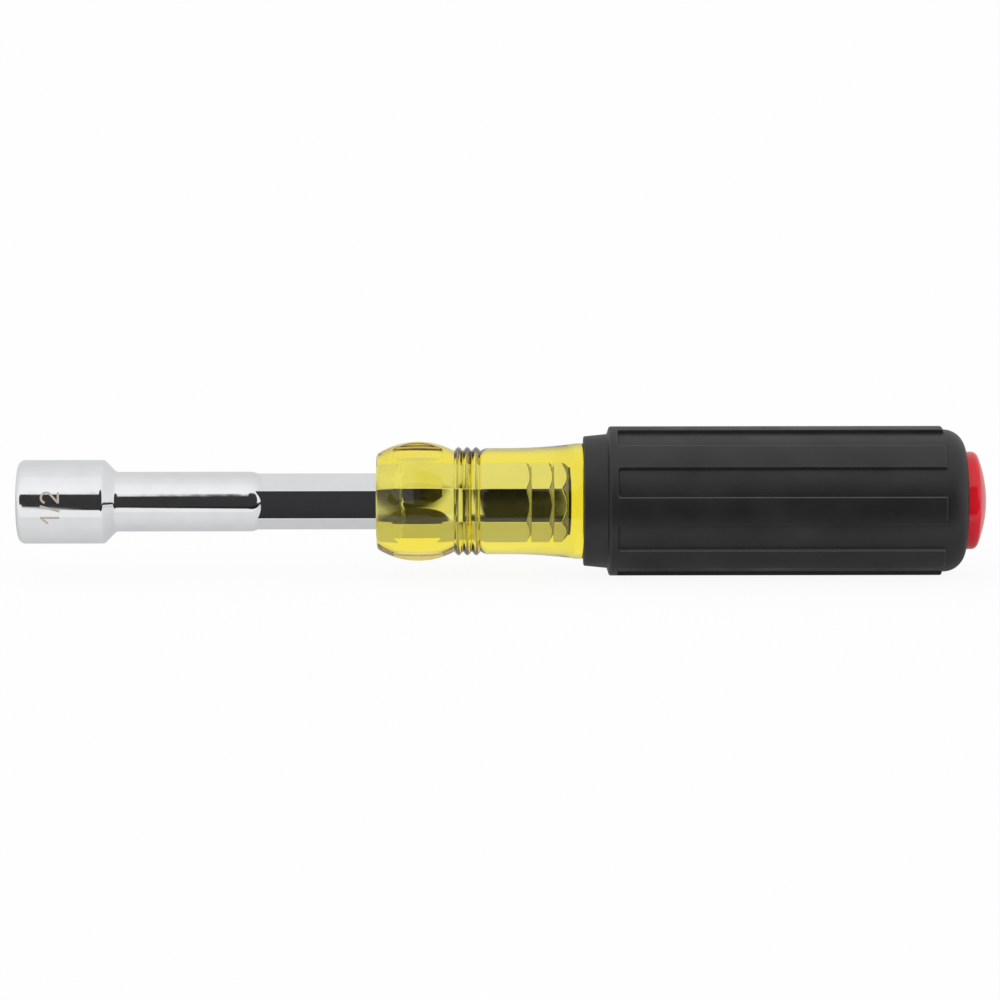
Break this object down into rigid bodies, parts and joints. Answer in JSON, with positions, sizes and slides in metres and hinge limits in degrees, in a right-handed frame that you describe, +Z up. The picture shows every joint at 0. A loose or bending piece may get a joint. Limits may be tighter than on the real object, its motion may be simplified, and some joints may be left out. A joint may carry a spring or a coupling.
{
  "type": "nut driver",
  "caption": "Hand nut driver: chromed hex socket on a hollow shaft, clear amber handle with a ribbed black cushion grip and a red domed end cap.",
  "frame": {"origin": "middle of the tool's length, on the ground under its axis", "axes": "+X along the tool from the socket to the end cap, +Z up, so that the tool lies on one rib of its grip"},
  "size_m": [0.2056, 0.0318, 0.0318],
  "materials": {
    "chromed_steel": "polished nickel chrome plate",
    "black_plug": "matte",
    "amber_acetate": "clear, polished",
    "black_vinyl": "satin, fine grain",
    "red_plastic": "glossy"
  },
  "bodies": {
    "root": {"socket": "chromed_steel", "shank": "chromed_steel", "bore_plug": "black_plug", "handle_core": "amber_acetate", "cushion_grip": "black_vinyl", "end_cap": "red_plastic"}
  },
  "joints": []
}
